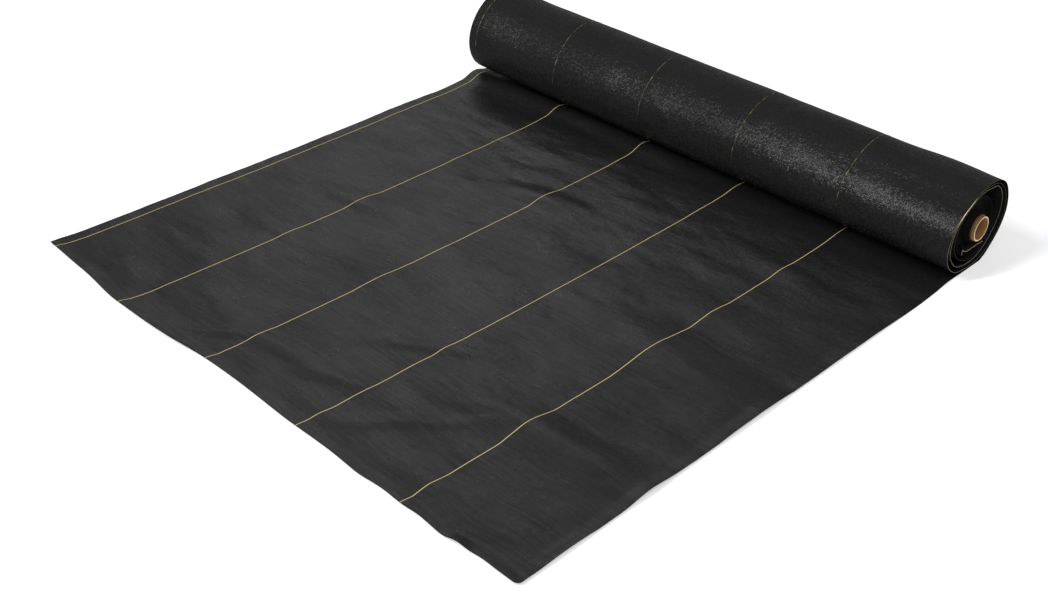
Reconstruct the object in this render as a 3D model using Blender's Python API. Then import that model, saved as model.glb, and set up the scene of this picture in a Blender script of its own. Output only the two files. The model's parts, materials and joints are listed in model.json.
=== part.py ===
"""Roll of woven weed control fabric, partly unrolled over a flat floor.

The fabric runs along Y: its cut edge lies at the front (-Y) and the roll stands across the back,
with its axis along X. Z is up and the floor is z = 0. Lengths are in metres.
"""
import math

import bmesh
import bpy

# Fabric: one woven sheet, laid flat at the front and wound up at the back
FABRIC_WIDTH = 1.000
FABRIC_THICKNESS = 0.0005
LAID_LENGTH = 0.912
PIECE_GAP = 0.0003
FLOOR_HEIGHT = 0.0

# Roll: the outer turns have worked loose and sag into an oval that leans back and up, more at
# the right end. At the left end they are wider and sit a little back of the core and above it.
ROLL_RADIUS = 0.0725
CENTRE_SINK = 0.0071
LEFT_END_SWELL = 0.0022
TURN_PITCH = 0.0055
LOOSE_TURNS = 3
LEFT_END_SAG = 0.0050
RIGHT_END_SAG = 0.0080
LEFT_SAG_LEAN_DEGREES = 40.0
RIGHT_SAG_LEAN_DEGREES = 27.0
LEFT_END_SHIFT = 0.0077
RIGHT_END_SHIFT = 0.0010
SHIFT_LEAN_DEGREES = 47.0
INNER_TURN_LIFT = 0.0080
LIFT_LEAN_DEGREES = 150.0
FOOT_AHEAD = 0.021
FOOT_BEHIND = 0.024
RISE_FADE_TURN_SHARE = 0.30
POINTS_PER_TURN = 28

# Tight winding inside the loose turns: its right end is dished, and the innermost turns stand
# out again along the core
PACK_FACE_RECESS = 0.0060
PACK_BOWL_DEPTH = 0.0065
PACK_STEP = 0.0020
COLLAR_DEPTH = 0.0010
COLLAR_THICKNESS = 0.0020
COLLAR_SLOPE = 0.0025
PACK_SEGMENTS = 64

# Inner turn that has buckled out of the dished face at the right end
BUCKLE_HEIGHT = 0.0060

# Paper core
CORE_RADIUS = 0.0190
CORE_WALL = 0.0022
CORE_OVERHANG = 0.005
PLY_THICKNESS = 0.0006
PLY_SETBACK = 0.0035
CORE_SEGMENTS = 48

# Coloured guide yarns, woven in at an even pitch, and the one along the right edge
GUIDE_COUNT = 5
GUIDE_PITCH = 0.198
FIRST_GUIDE = 0.018
GUIDE_WIDTH = 0.0022
GUIDE_THICKNESS = 0.0003
EDGE_YARN_WIDTH = 0.0012
GUIDE_START_DEGREES = -58.0
GUIDE_END_DEGREES = 222.0

# Laid sheet: how its cut edge and its left side wander, and how high it ripples
FRONT_BULGE = 0.0125
FRONT_BULGE_SHARES = ((0.22, 0.36, 1.0), (0.78, 0.12, 0.60))
DRAW_IN = 0.0070
DRAW_IN_END_SHARES = (0.66, 0.92)
RIPPLE_HEIGHT = 0.0090
HUMP_HEIGHT = 0.0070
HUMP_HALF_WIDTH = 0.036
HUMP_END_SHARES = (0.44, 0.66)
HUMP_LOW_SHARE = 0.20
ROWS_ALONG = 21
ROWS_OVER_HUMP = 6
COLUMNS_BETWEEN_GUIDES = 4

# Each ripple: place across the width, place along the laid length, half its length as a share of
# the width, half its breadth as a share of the laid length, heading in degrees, share of the height
RIPPLE_SHARES = (
    (0.50, 0.100, 0.19, 0.036, 4.0, 0.50),
    (0.79, 0.050, 0.12, 0.035, -6.0, 0.35),
    (0.86, 0.225, 0.30, 0.062, 3.0, 0.95),
    (0.41, 0.310, 0.16, 0.065, -14.0, 0.30),
    (0.84, 0.470, 0.27, 0.095, -4.0, 1.00),
    (0.20, 0.455, 0.13, 0.045, 10.0, 0.45),
    (0.10, 0.230, 0.13, 0.055, -18.0, 0.35),
    (0.82, 0.610, 0.15, 0.055, 8.0, 0.45),
    (0.42, 0.680, 0.12, 0.045, 12.0, 0.55),
    (0.12, 0.700, 0.14, 0.060, -8.0, 0.40),
    (0.83, 0.775, 0.14, 0.042, -10.0, 0.38),
)

# The buckled inner turn, seen along the axis: share of a turn from under the centre, and share
# of the way outward over the dish's floor
BUCKLE_SHARES = (
    (-0.114, 0.92), (-0.122, 0.54), (-0.094, 0.56), (-0.061, 0.42), (-0.028, 0.20),
    (0.011, 0.10), (0.044, 0.42), (0.069, 0.80),
)

HALF_WIDTH = FABRIC_WIDTH / 2
HALF_THICKNESS = FABRIC_THICKNESS / 2
ROLL_CENTRE_HEIGHT = ROLL_RADIUS - CENTRE_SINK
FULL_TURN = 2 * math.pi
UNDER_CENTRE = -math.pi / 2


def clear_scene():
    for old in list(bpy.data.objects):
        bpy.data.objects.remove(old, do_unlink=True)


def make_material(name, color, roughness):
    material = bpy.data.materials.new(name)
    material.use_nodes = True
    shader = material.node_tree.nodes["Principled BSDF"]
    shader.inputs["Base Color"].default_value = (*color, 1.0)
    shader.inputs["Roughness"].default_value = roughness
    shader.inputs["Metallic"].default_value = 0.0
    return material


def add_object(name, mesh_builder, material, parent):
    """Close the bmesh into a mesh object, smooth it and hang it on its parent."""
    mesh_builder.normal_update()
    mesh = bpy.data.meshes.new(name)
    mesh_builder.to_mesh(mesh)
    mesh_builder.free()
    mesh.materials.append(material)
    mesh.shade_smooth()
    mesh.set_sharp_from_angle(angle=math.radians(35.0))
    piece = bpy.data.objects.new(name, mesh)
    bpy.context.scene.collection.objects.link(piece)
    if parent is not None:
        piece.parent = parent
        piece.matrix_parent_inverse = parent.matrix_world.inverted()
    return piece


def add_body(name, place):
    """An empty at a moving body's own axis; it carries that body's pieces."""
    body = bpy.data.objects.new(name, None)
    body.location = place
    bpy.context.scene.collection.objects.link(body)
    bpy.context.view_layer.update()
    return body


def thicken(piece, thickness, offset):
    """Give a surface its fabric thickness: offset 1 builds outward, 0 to both sides."""
    solidify = piece.modifiers.new("thickness", "SOLIDIFY")
    solidify.thickness = thickness
    solidify.offset = offset
    solidify.use_even_offset = True
    return solidify


def surface_grid(columns):
    """A bmesh surface through columns of points, each column of equal length."""
    grid = bmesh.new()
    lines = [[grid.verts.new(point) for point in column] for column in columns]
    for left, right in zip(lines, lines[1:]):
        for near in range(len(left) - 1):
            grid.faces.new((left[near], right[near], right[near + 1], left[near + 1]))
    return grid


def smooth_step(value):
    held = min(max(value, 0.0), 1.0)
    return held * held * (3 - 2 * held)


def bump(distance):
    """A rounded hill: one at its middle, zero from a distance of one outward."""
    return math.cos(distance * math.pi / 2) ** 2 if abs(distance) < 1 else 0.0


def guide_share(index):
    return (FIRST_GUIDE + index * GUIDE_PITCH) / FABRIC_WIDTH


def across_position(share):
    return share * FABRIC_WIDTH - HALF_WIDTH


# The winding, seen along the roll's axis. A turn is counted from under the centre, rising at the
# back, over the top and down the front, so each turn lies inside the one before.

def from_left_to_right(left, right, across):
    return left + (right - left) * across


def oval_radius(turn, across):
    angle = UNDER_CENTRE + FULL_TURN * turn
    inward = turn / LOOSE_TURNS
    lean = from_left_to_right(LEFT_SAG_LEAN_DEGREES, RIGHT_SAG_LEAN_DEGREES, across)
    sag = from_left_to_right(LEFT_END_SAG, RIGHT_END_SAG, across)
    sag *= math.cos(2 * (angle - math.radians(lean)))
    shift = from_left_to_right(LEFT_END_SHIFT, RIGHT_END_SHIFT, across)
    shift *= (1 - inward) * math.cos(angle - math.radians(SHIFT_LEAN_DEGREES))
    lift = INNER_TURN_LIFT * inward * math.cos(angle - math.radians(LIFT_LEAN_DEGREES))
    swell = from_left_to_right(LEFT_END_SWELL, 0.0, across)
    return ROLL_RADIUS + swell - TURN_PITCH * turn + sag + shift + lift


def first_rise_turn():
    """Where the fabric leaves the floor behind the roll's centre, in turns."""
    angle = math.atan2(HALF_THICKNESS - ROLL_CENTRE_HEIGHT, FOOT_BEHIND)
    return (angle - UNDER_CENTRE) / FULL_TURN


def winding_point(turn, across):
    """Middle of the fabric at this turn, from the roll's centre: (back, up)."""
    start = first_rise_turn()
    start_radius = math.hypot(FOOT_BEHIND, ROLL_CENTRE_HEIGHT - HALF_THICKNESS)
    faded = max(0.0, 1 - (turn - start) / RISE_FADE_TURN_SHARE)
    radius = oval_radius(turn, across) + (start_radius - oval_radius(start, across)) * faded ** 2
    angle = UNDER_CENTRE + FULL_TURN * turn
    return radius * math.cos(angle), radius * math.sin(angle)


def winding_turns():
    start = first_rise_turn()
    steps = round(POINTS_PER_TURN * (LOOSE_TURNS - start))
    return [start + (LOOSE_TURNS - start) * step / steps for step in range(steps + 1)]


def least_gap_between_turns(across):
    """Clear distance between one turn's fabric and the next, measured on the points."""
    points = [winding_point(turn, across) for turn in winding_turns()]
    half_turn = POINTS_PER_TURN // 2
    apart = [
        math.dist(points[first], points[second])
        for first in range(len(points))
        for second in range(first + half_turn, len(points))
    ]
    return min(apart) - FABRIC_THICKNESS


def tightest_radius():
    """The nearest that the loose turns' inner face comes to the roll's centre."""
    return min(
        math.hypot(*winding_point(turn, across))
        for turn in winding_turns()
        for across in (0.0, 1.0)
    ) - HALF_THICKNESS


def roll_back_reach():
    """How far back of its centre the roll reaches, to the back of the guide yarns round it."""
    proud = HALF_THICKNESS + PIECE_GAP + GUIDE_THICKNESS
    return proud + max(
        winding_point(turn, guide_share(index))[0]
        for turn in winding_turns()
        for index in range(GUIDE_COUNT)
    )


ROLL_Y = (LAID_LENGTH + FRONT_BULGE - roll_back_reach()) / 2
PACK_RADIUS = tightest_radius() - PIECE_GAP
PLY_RADIUS = CORE_RADIUS + PIECE_GAP + PLY_THICKNESS
PACK_BORE_RADIUS = PLY_RADIUS + PIECE_GAP
ROLL_CENTRE = (0.0, ROLL_Y, ROLL_CENTRE_HEIGHT)


def roll_place(x, back, up):
    return (x, ROLL_Y + back, ROLL_CENTRE_HEIGHT + up)


# The laid sheet, from its cut front edge to the foot of the roll

def front_edge(across):
    """How far ahead of the roll's centre the cut edge lies at this place across."""
    bulge = sum(
        height * bump((across - middle) / half_width)
        for middle, half_width, height in FRONT_BULGE_SHARES
    )
    return LAID_LENGTH + FRONT_BULGE * bulge


def drawn_in(across, along):
    """The left and middle of the sheet are pulled a little to the right halfway along."""
    start, end = DRAW_IN_END_SHARES
    held = 1 - smooth_step((across - start) / (end - start))
    return DRAW_IN * held * math.sin(math.pi * along)


def ripple_height(across, along):
    """Height of the rippled sheet over the floor; it lies flat between its ripples."""
    height = 0.0
    for middle, place, half_length, half_breadth, heading, share in RIPPLE_SHARES:
        turned = math.radians(heading)
        sideways = across_position(across) - across_position(middle)
        forward = (along - place) * LAID_LENGTH
        length = sideways * math.cos(turned) + forward * math.sin(turned)
        breadth = forward * math.cos(turned) - sideways * math.sin(turned)
        height += share * bump(length / (half_length * FABRIC_WIDTH)) * bump(
            breadth / (half_breadth * LAID_LENGTH))
    return FLOOR_HEIGHT + RIPPLE_HEIGHT * height


def hump_height(across, ahead):
    """The sheet lifts a little just in front of the roll, most on its left half."""
    start, end = HUMP_END_SHARES
    low = smooth_step((across - start) / (end - start))
    height = HUMP_HEIGHT * (1 - (1 - HUMP_LOW_SHARE) * low)
    return height * bump((ahead - FOOT_AHEAD - HUMP_HALF_WIDTH) / HUMP_HALF_WIDTH)


def laid_point(across, ahead):
    """A point of the laid sheet's underside, this far ahead of the roll's centre."""
    along = 1 - ahead / front_edge(across)
    hump_start = FOOT_AHEAD + 2 * HUMP_HALF_WIDTH
    faded = smooth_step((ahead - FOOT_AHEAD) / hump_start)
    height = ripple_height(across, along) * faded + hump_height(across, ahead)
    return (across_position(across) + drawn_in(across, along), ROLL_Y - ahead, height)


def laid_rows(across):
    """Distances ahead of the roll's centre, from the cut edge back to the roll's foot."""
    hump_start = FOOT_AHEAD + 2 * HUMP_HALF_WIDTH
    foot_edge = FOOT_AHEAD + PIECE_GAP
    front = front_edge(across)
    rows = [front + (hump_start - front) * row / ROWS_ALONG for row in range(ROWS_ALONG)]
    rows += [
        hump_start + (foot_edge - hump_start) * row / ROWS_OVER_HUMP
        for row in range(ROWS_OVER_HUMP + 1)
    ]
    return rows


def column_shares():
    """Places across the sheet: its two edges, each guide yarn, and even steps between."""
    marks = [guide_share(index) for index in range(GUIDE_COUNT)]
    shares = [0.0, marks[0]]
    for left, right in zip(marks, marks[1:] + [1.0]):
        shares += [
            left + (right - left) * step / COLUMNS_BETWEEN_GUIDES
            for step in range(1, COLUMNS_BETWEEN_GUIDES + 1)
        ]
    return shares


def make_laid_sheet(material):
    columns = [
        [laid_point(across, ahead) for ahead in laid_rows(across)] for across in column_shares()
    ]
    sheet = add_object("laid_sheet", surface_grid(columns), material, None)
    thicken(sheet, FABRIC_THICKNESS, 1.0)


def make_laid_guide(index, material):
    """A guide yarn on the laid sheet's upper face, from the cut edge to the roll's foot."""
    across = guide_share(index)
    lift = FABRIC_THICKNESS + PIECE_GAP
    middle = [laid_point(across, ahead) for ahead in laid_rows(across)]
    columns = [
        [(x + side * GUIDE_WIDTH / 2, y, z + lift) for x, y, z in middle] for side in (-1, 1)
    ]
    guide = add_object(f"laid_guide_yarn_{index + 1}", surface_grid(columns), material, None)
    thicken(guide, GUIDE_THICKNESS, 1.0)


def outer_turn_column(across):
    """The loose winding's middle line at one place across: the flat foot, then the turns."""
    floor_up = HALF_THICKNESS - ROLL_CENTRE_HEIGHT
    line = [(-FOOT_AHEAD, floor_up), (0.0, floor_up)]
    line += [winding_point(turn, across) for turn in winding_turns()]
    return line


def make_outer_turns(material, parent):
    shares = [0.0] + [guide_share(index) for index in range(GUIDE_COUNT)] + [1.0]
    columns = [
        [roll_place(across_position(across), back, up) for back, up in outer_turn_column(across)]
        for across in shares
    ]
    turns = add_object("outer_turns", surface_grid(columns), material, parent)
    thicken(turns, FABRIC_THICKNESS, 0.0)


def outward(line, place):
    """Unit direction away from the roll's centre, square to the line at this point."""
    before = line[max(place - 1, 0)]
    after = line[min(place + 1, len(line) - 1)]
    along_back, along_up = after[0] - before[0], after[1] - before[1]
    length = math.hypot(along_back, along_up)
    return along_up / length, -along_back / length


def make_roll_guide(index, material, parent):
    """The same yarn where it shows round the outside of the roll."""
    across = guide_share(index)
    line = [winding_point(turn, across) for turn in winding_turns()]
    lift = HALF_THICKNESS + PIECE_GAP + GUIDE_THICKNESS / 2
    start = (math.radians(GUIDE_START_DEGREES) - UNDER_CENTRE) / FULL_TURN
    end = (math.radians(GUIDE_END_DEGREES) - UNDER_CENTRE) / FULL_TURN
    shown = [place for place, turn in enumerate(winding_turns()) if start <= turn <= end]
    raised = []
    for place in shown:
        back, up = line[place]
        out_back, out_up = outward(line, place)
        raised.append((back + out_back * lift, up + out_up * lift))
    columns = [
        [roll_place(across_position(across) + side * GUIDE_WIDTH / 2, back, up)
         for back, up in raised]
        for side in (-1, 1)
    ]
    guide = add_object(f"roll_guide_yarn_{index + 1}", surface_grid(columns), material, parent)
    thicken(guide, GUIDE_THICKNESS, 0.0)


def make_edge_yarn(material, parent):
    """The yarn along the fabric's right edge, which shows as a pale line on each loose turn."""
    inner_x = HALF_WIDTH + PIECE_GAP
    line = [winding_point(turn, 1.0) for turn in winding_turns()]
    columns = [
        [roll_place(x, back, up) for back, up in line]
        for x in (inner_x, inner_x + EDGE_YARN_WIDTH)
    ]
    yarn = add_object("edge_yarn", surface_grid(columns), material, parent)
    thicken(yarn, FABRIC_THICKNESS, 0.0)


def turned_ring(name, profile, segments, material, parent):
    """A closed ring about the roll's axis from a profile of (distance along the axis, radius)."""
    ring = bmesh.new()
    loop = [ring.verts.new(roll_place(x, 0.0, radius)) for x, radius in profile]
    edges = [ring.edges.new((first, second)) for first, second in zip(loop, loop[1:] + loop[:1])]
    bmesh.ops.spin(
        ring, geom=loop + edges, cent=ROLL_CENTRE, axis=(1.0, 0.0, 0.0),
        angle=FULL_TURN, steps=segments)
    bmesh.ops.remove_doubles(ring, verts=ring.verts, dist=PIECE_GAP / 10)
    bmesh.ops.recalc_face_normals(ring, faces=ring.faces)
    return add_object(name, ring, material, parent)


def dish_floor():
    """The radii between which the bottom of the winding's dished end is flat."""
    collar_foot = PACK_BORE_RADIUS + COLLAR_THICKNESS + COLLAR_SLOPE
    return collar_foot, PACK_RADIUS - PACK_STEP - PACK_BOWL_DEPTH


def pack_face_profile():
    """Half the tight winding's right end, as (depth below the loose turns' edges, radius)."""
    bowl_edge = PACK_RADIUS - PACK_STEP
    floor_start, floor_end = dish_floor()
    deepest = PACK_FACE_RECESS + PACK_BOWL_DEPTH
    return [
        (PACK_FACE_RECESS, PACK_RADIUS),
        (PACK_FACE_RECESS, bowl_edge),
        (PACK_FACE_RECESS + PACK_STEP, bowl_edge - PACK_STEP / 2),
        (deepest, floor_end),
        (deepest, floor_start),
        (COLLAR_DEPTH, PACK_BORE_RADIUS + COLLAR_THICKNESS),
        (COLLAR_DEPTH, PACK_BORE_RADIUS),
    ]


def make_wound_pack(material, parent):
    """Each turn is as wide as the next, so the left end bulges where the right one is dished."""
    face = pack_face_profile()
    deepest = PACK_FACE_RECESS + PACK_BOWL_DEPTH
    right = [(HALF_WIDTH - depth, radius) for depth, radius in face]
    left = [(deepest - depth - HALF_WIDTH, radius) for depth, radius in reversed(face)]
    turned_ring("wound_pack", right + left, PACK_SEGMENTS, material, parent)


def make_buckled_turn(material, parent):
    """A short length of an inner turn, standing out of the dish with its edge crumpled."""
    face_x = HALF_WIDTH - PACK_FACE_RECESS - PACK_BOWL_DEPTH + PIECE_GAP
    floor_start, floor_end = dish_floor()
    line = []
    for turn_share, outward_share in BUCKLE_SHARES:
        angle = UNDER_CENTRE + FULL_TURN * turn_share
        radius = floor_start + (floor_end - floor_start) * outward_share
        line.append((radius * math.cos(angle), radius * math.sin(angle)))
    columns = [
        [roll_place(x, back, up) for back, up in line]
        for x in (face_x, face_x + BUCKLE_HEIGHT)
    ]
    fold = add_object("buckled_turn", surface_grid(columns), material, parent)
    thicken(fold, FABRIC_THICKNESS, 0.0)


def make_core(material, ply_material, parent):
    half_length = HALF_WIDTH + CORE_OVERHANG
    bore = CORE_RADIUS - CORE_WALL
    turned_ring("core_tube", [
        (half_length, bore), (half_length, CORE_RADIUS),
        (-half_length, CORE_RADIUS), (-half_length, bore),
    ], CORE_SEGMENTS, material, parent)
    ply_half_length = half_length - PLY_SETBACK
    turned_ring("core_outer_ply", [
        (ply_half_length, CORE_RADIUS + PIECE_GAP), (ply_half_length, PLY_RADIUS),
        (-ply_half_length, PLY_RADIUS), (-ply_half_length, CORE_RADIUS + PIECE_GAP),
    ], CORE_SEGMENTS, ply_material, parent)


def build():
    clear_scene()
    fabric = make_material("woven_fabric", (0.032, 0.032, 0.034), 0.55)
    reverse = make_material("wound_fabric", (0.026, 0.026, 0.028), 0.50)
    packed = make_material("packed_edges", (0.020, 0.020, 0.021), 0.70)
    guide = make_material("guide_yarn", (0.74, 0.56, 0.20), 0.50)
    faded_guide = make_material("guide_yarn_reverse", (0.55, 0.40, 0.22), 0.60)
    paper = make_material("core_paper", (0.50, 0.33, 0.20), 0.85)
    ply_paper = make_material("core_ply_paper", (0.44, 0.28, 0.17), 0.85)

    make_laid_sheet(fabric)
    for index in range(GUIDE_COUNT):
        make_laid_guide(index, guide)

    rolling = add_body("rolling_winding", ROLL_CENTRE)
    make_outer_turns(reverse, rolling)
    for index in range(GUIDE_COUNT):
        make_roll_guide(index, faded_guide, rolling)
    make_edge_yarn(guide, rolling)

    turning = add_body("turning_pack", ROLL_CENTRE)
    make_wound_pack(packed, turning)
    make_buckled_turn(fabric, turning)

    sliding = add_body("sliding_core", ROLL_CENTRE)
    make_core(paper, ply_paper, sliding)

    for across in (0.0, 1.0):
        gap = least_gap_between_turns(across)
        print(f"least gap between turns at share {across} of the width: {gap * 1000:.2f} mm")
    print("roll centre", [round(value, 6) for value in ROLL_CENTRE])
    print("pack radius", round(PACK_RADIUS, 6), "pack bore", round(PACK_BORE_RADIUS, 6))


build()
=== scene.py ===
import json
import math

import bpy
import numpy as np
from mathutils import Euler, Matrix, Vector, noise


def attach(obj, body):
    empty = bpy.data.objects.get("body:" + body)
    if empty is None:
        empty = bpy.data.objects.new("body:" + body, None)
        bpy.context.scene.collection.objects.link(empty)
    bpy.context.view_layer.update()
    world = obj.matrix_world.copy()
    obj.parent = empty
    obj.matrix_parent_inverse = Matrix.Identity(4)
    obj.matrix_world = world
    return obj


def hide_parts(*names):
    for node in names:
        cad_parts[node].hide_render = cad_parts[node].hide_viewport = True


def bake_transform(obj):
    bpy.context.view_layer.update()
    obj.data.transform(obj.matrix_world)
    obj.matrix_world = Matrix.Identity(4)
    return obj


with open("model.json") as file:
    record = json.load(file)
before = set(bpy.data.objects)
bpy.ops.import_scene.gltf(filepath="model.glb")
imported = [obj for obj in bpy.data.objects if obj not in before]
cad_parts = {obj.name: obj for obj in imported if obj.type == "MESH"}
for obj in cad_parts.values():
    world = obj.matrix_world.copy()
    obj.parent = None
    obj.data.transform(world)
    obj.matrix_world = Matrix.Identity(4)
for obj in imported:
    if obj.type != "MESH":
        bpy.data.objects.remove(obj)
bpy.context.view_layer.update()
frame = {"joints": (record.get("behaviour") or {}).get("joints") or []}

# Camera. It stands off the front right corner and looks down over the sheet with a normal lens,
# as the sheet's corners, edges and guide yarns have it in the photograph.
bpy.ops.object.select_all(action="DESELECT")
camera_place = (1.290, -1.2492, 1.089)
camera_down_degrees = 33.42
camera_turn_degrees = 45.78
camera_lean_degrees = -0.18
camera_aim = Euler(
    (math.radians(90 - camera_down_degrees), 0.0, math.radians(camera_turn_degrees))).to_matrix()
camera_lean = Matrix.Rotation(math.radians(camera_lean_degrees), 3, "Z")
bpy.ops.object.camera_add(location=camera_place, rotation=(camera_aim @ camera_lean).to_euler())
camera = bpy.context.active_object
camera.name = "camera"
camera.data.sensor_width = 36.0
camera.data.lens = 48.5
bpy.context.scene.camera = camera
bpy.context.scene.view_settings.view_transform = "Standard"

# Studio. A white floor that glows a little, under soft white light: a tall narrow softbox at the
# front left gives the roll its shine, and a wide one at the right lights its end. Behind stand a
# panel and a thin strip that only the laid sheet mirrors.
FLOOR_SIZE = 30.0
FLOOR_HEIGHT = -0.0004
FLOOR_GLOW = 0.42
AIR_GLOW = 0.22
bpy.ops.object.select_all(action="DESELECT")
bpy.ops.mesh.primitive_plane_add(size=FLOOR_SIZE, location=(0.0, 0.0, FLOOR_HEIGHT))
floor = bpy.context.active_object
floor.name = "studio_floor"
floor_paint = bpy.data.materials.new("studio_white")
floor_paint.use_nodes = True
floor_shader = floor_paint.node_tree.nodes["Principled BSDF"]
floor_shader.inputs["Base Color"].default_value = (0.92, 0.92, 0.92, 1.0)
floor_shader.inputs["Roughness"].default_value = 0.9
floor_shader.inputs["Specular IOR Level"].default_value = 0.1
floor_shader.inputs["Emission Color"].default_value = (1.0, 1.0, 1.0, 1.0)
floor_shader.inputs["Emission Strength"].default_value = FLOOR_GLOW
floor.data.materials.append(floor_paint)
floor.visible_glossy = False

studio_air = bpy.data.worlds.new("studio_air")
studio_air.use_nodes = True
air_light = studio_air.node_tree.nodes["Background"]
air_light.inputs["Color"].default_value = (1.0, 1.0, 1.0, 1.0)
air_light.inputs["Strength"].default_value = AIR_GLOW
bpy.context.scene.world = studio_air


def add_softbox(name, turn_degrees, height_degrees, distance, width, height, power):
    """An area light aimed at the middle of the object; its turn is taken from the front."""
    turn, rise = math.radians(turn_degrees), math.radians(height_degrees)
    towards = Vector((
        math.sin(turn) * math.cos(rise), -math.cos(turn) * math.cos(rise), math.sin(rise)))
    bpy.ops.object.light_add(type="AREA", location=towards * distance)
    softbox = bpy.context.active_object
    softbox.name = name
    softbox.rotation_euler = towards.to_track_quat("Z", "Y").to_euler()
    softbox.data.shape = "RECTANGLE"
    softbox.data.size = width
    softbox.data.size_y = height
    softbox.data.energy = power
    return softbox


add_softbox(
    "front_left_softbox", turn_degrees=-23.5, height_degrees=45.0, distance=6.0,
    width=0.9, height=3.6, power=255.0)
add_softbox(
    "right_softbox", turn_degrees=82.0, height_degrees=60.0, distance=4.6,
    width=2.4, height=2.4, power=60.0)
backdrop_panel = add_softbox(
    "backdrop_panel", turn_degrees=-126.5, height_degrees=32.0, distance=4.2,
    width=1.8, height=0.8, power=4.9)
backdrop_strip = add_softbox(
    "backdrop_strip", turn_degrees=-122.0, height_degrees=50.0, distance=4.2,
    width=3.0, height=0.3, power=4.5)

# Laid fabric. A sheet of flat black plastic tapes in plain weave, one metre wide, cut across at
# the front and running under the roll at the back. It lies loose, so it ripples, and its cut and
# woven edges lift a little off the floor.
roll_turn = next(joint for joint in frame["joints"] if joint["name"] == "roll_turn")
ROLL_Y, ROLL_HEIGHT = roll_turn["pos_m"][1:]
FABRIC_WIDTH = 1.000
FABRIC_THICKNESS = 0.0005
TAPE_WIDTH = 0.0024

# Lengths ahead of the roll's centre: to the cut edge, and to where the sheet becomes the roll's
# foot. Just in front of the foot it rises in a low hump.
LAID_LENGTH = 0.912
FOOT_AHEAD = 0.021
HUMP_HALF_WIDTH = 0.036
HUMP_HEIGHT = 0.0070


def smooth_step(value):
    """A soft step: nought up to nought, one from one on."""
    held = np.clip(value, 0.0, 1.0)
    return held * held * (3 - 2 * held)


def bump(distance):
    """A rounded hill: one at its middle, zero from a distance of one outward."""
    return np.where(np.abs(distance) < 1, np.cos(distance * np.pi / 2) ** 2, 0.0)


def soft_noise(first, second, seed):
    """Smooth noise of about unit size, one value for each pair of coordinates."""
    flat = [
        noise.noise(Vector((a, b, seed)))
        for a, b in zip(np.ravel(first).tolist(), np.ravel(second).tolist())
    ]
    return np.array(flat).reshape(np.shape(first))


# The cut edge was cut by hand, so it wavers. Each bulge: its middle and half its width, as shares
# of the fabric's width, and how far it stands ahead. The right corner stands ahead as a whole.
CUT_BULGES = (
    (0.22, 0.36, 0.0125), (0.78, 0.12, 0.0075), (0.58, 0.30, 0.0074), (0.775, 0.05, -0.0040),
    (0.22, 0.11, 0.0056), (0.47, 0.15, -0.0030), (0.315, 0.10, 0.0074), (0.89, 0.065, 0.0075),
)
CORNER_AHEAD = 0.0025


def front_edge(across):
    """How far ahead of the roll's centre the cut edge lies at each place across."""
    edge = LAID_LENGTH + CORNER_AHEAD * smooth_step((across - 0.92) / 0.05)
    for middle, half_width, reach in CUT_BULGES:
        edge = edge + reach * bump((across - middle) / half_width)
    return edge


# Each ripple: its places across and back from the cut edge as shares of the sheet, half its
# length in metres, half its breadth as a share of the laid length, its heading in degrees, and
# its height.
RIPPLES = (
    (0.50, 0.100, 0.19, 0.036, 4.0, 0.0045),
    (0.79, 0.050, 0.12, 0.035, -6.0, 0.0032),
    (0.86, 0.225, 0.30, 0.062, 3.0, 0.0086),
    (0.41, 0.310, 0.16, 0.065, -14.0, 0.0027),
    (0.84, 0.470, 0.27, 0.095, -4.0, 0.0090),
    (0.20, 0.455, 0.13, 0.045, 10.0, 0.0040),
    (0.10, 0.230, 0.13, 0.055, -18.0, 0.0032),
    (0.82, 0.610, 0.15, 0.055, 8.0, 0.0040),
    (0.42, 0.680, 0.12, 0.045, 12.0, 0.0050),
    (0.12, 0.700, 0.14, 0.060, -8.0, 0.0036),
    (0.83, 0.775, 0.14, 0.042, -10.0, 0.0034),
    (0.30, 0.008, 0.12, 0.050, 3.0, 0.0055),
    (0.60, 0.040, 0.10, 0.034, -8.0, 0.0022),
    (0.15, 0.300, 0.16, 0.040, 12.0, 0.0024),
    (0.70, 0.115, 0.17, 0.024, 45.0, 0.0024),
    (0.60, 0.255, 0.16, 0.024, 32.0, 0.0024),
    (0.56, 0.100, 0.09, 0.020, 28.0, 0.0018),
    (0.37, 0.058, 0.06, 0.020, 34.0, 0.0030),
)

# Cockles all over the sheet: height, length across, length along, and the noise's seed. The
# finest lie in bowed lines.
BROAD_COCKLES = (0.0011, 0.11, 0.06, 3.1)
SMALL_COCKLES = (0.00045, 0.045, 0.026, 8.4)
BOWED_COCKLES = (0.00050, 0.085, 0.016, 6.6)

# The free edges lift off the floor by this much, more or less. There is a pinch in the cut edge
# near the right corner, a lift of the right edge, and a short crease near the left corner.
EDGE_LIFT = 0.0026
EDGE_LIFT_VARIES = 0.0010
PINCH_AT, PINCH_HEIGHT = 0.905, 0.0050
SIDE_LIFT = 0.0022
CREASE_AT, CREASE_HEIGHT = 0.104, 0.0012


def uneven(sideways, back, kind):
    """Height of one kind of unevenness, such as a kind of cockle."""
    high, wide, long, seed = kind
    return high * soft_noise(sideways / wide, back / long, seed)


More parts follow.
